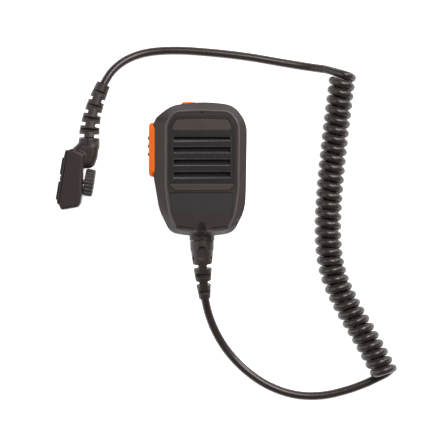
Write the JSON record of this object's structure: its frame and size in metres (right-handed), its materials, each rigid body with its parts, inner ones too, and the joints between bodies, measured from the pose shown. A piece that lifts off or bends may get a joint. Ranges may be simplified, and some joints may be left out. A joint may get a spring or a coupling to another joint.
{
  "type": "hand microphone",
  "caption": "Hand microphone lying on its belt clip, with a slotted speaker face, orange talk key, curly cord and a flat side plug held by a knurled thumb screw.",
  "frame": {"origin": "on the belt clip's swivel axis, at the outer face of the clip's jaw, which is the surface that the microphone lies on", "axes": "+Z out of the speaker face, +Y towards the top of the microphone, +X to its right seen from the front"},
  "size_m": [0.2252, 0.2345, 0.0365],
  "materials": {
    "housing": "fine moulded grain",
    "black_panel": "satin moulded",
    "orange": "satin moulded",
    "rubber": "satin rubber",
    "cord_jacket": "semi-gloss polyurethane",
    "cloth": "fine weave",
    "paper_cone": "matt",
    "steel": "bright zinc",
    "brass": "plated",
    "board": "solder mask"
  },
  "bodies": {
    "microphone": {"front_housing": "housing", "rear_housing": "housing", "case_seal": "rubber", "case_screws": "steel", "grille_panel": "black_panel", "badge_plate": "black_panel", "speaker_cloth": "cloth", "speaker_gasket": "rubber", "speaker_frame": "black_panel", "speaker_cone": "paper_cone", "speaker_magnet": "steel", "capsule_boot": "rubber", "microphone_capsule": "steel", "circuit_board": "board", "board_chips": "black_panel", "board_screws": "steel", "talk_switch": "black_panel", "emergency_switch": "black_panel", "jack_socket": "black_panel", "wire_connector": "black_panel", "talk_key_seal": "rubber", "cord_tail": "cord_jacket", "cord_clamp": "black_panel", "cord_wires": "cord_jacket", "clip_insert": "brass", "clip_screw": "steel", "swivel_washer": "paper_cone", "mic_boot": "rubber", "cord_mic_end": "cord_jacket", "curly_cord": "cord_jacket", "cord_plug_end": "cord_jacket", "plug_boot": "rubber", "plug_housing": "housing", "plug_plate": "black_panel", "plug_seals": "rubber", "plug_contacts": "brass", "plug_board": "board", "emergency_spring": "rubber"},
    "talk_key": {"talk_key": "orange", "talk_key_grips": "rubber", "talk_actuator": "black_panel"},
    "emergency_key": {"emergency_key": "orange"},
    "jack_cover": {"jack_cover": "rubber"},
    "clip_base": {"clip_base": "black_panel", "clip_pin": "steel", "clip_spring": "steel"},
    "clip_jaw": {"clip_jaw": "black_panel"},
    "thumb_screw": {"thumb_knob": "black_panel", "thumb_screw": "steel", "retaining_ring": "steel"}
  },
  "joints": [
    {"name": "talk_key_press", "type": "slide", "parent": "microphone", "child": "talk_key", "axis": [1, 0, 0], "range_m": [0, 0.0008], "stiffness_N_per_m": 1500},
    {"name": "emergency_key_press", "type": "slide", "parent": "microphone", "child": "emergency_key", "axis": [0, -1, 0], "range_m": [0, 0.0007], "stiffness_N_per_m": 1200, "deforming": ["emergency_spring"]},
    {"name": "jack_cover_hinge", "type": "hinge", "parent": "microphone", "child": "jack_cover", "pos_m": [0.0282, 0.0015, 0.0222], "axis": [0, 0, -1], "range_deg": [0, 105]},
    {"name": "clip_swivel", "type": "hinge", "parent": "microphone", "child": "clip_base", "pos_m": [0, 0, 0.0085], "axis": [0, 0, 1], "continuous": true},
    {"name": "clip_jaw_hinge", "type": "hinge", "parent": "clip_base", "child": "clip_jaw", "pos_m": [0, 0.016, 0.00495], "axis": [1, 0, 0], "range_deg": [0, 25], "stiffness_Nm_per_rad": 0.25, "springref_deg": -45.84, "deforming": ["clip_spring"]},
    {"name": "thumb_screw_spin", "type": "hinge", "parent": "microphone", "child": "thumb_screw", "pos_m": [-0.08325, -0.01352, 0.0105], "axis": [0.9873, -0.1587, 0], "continuous": true}
  ]
}
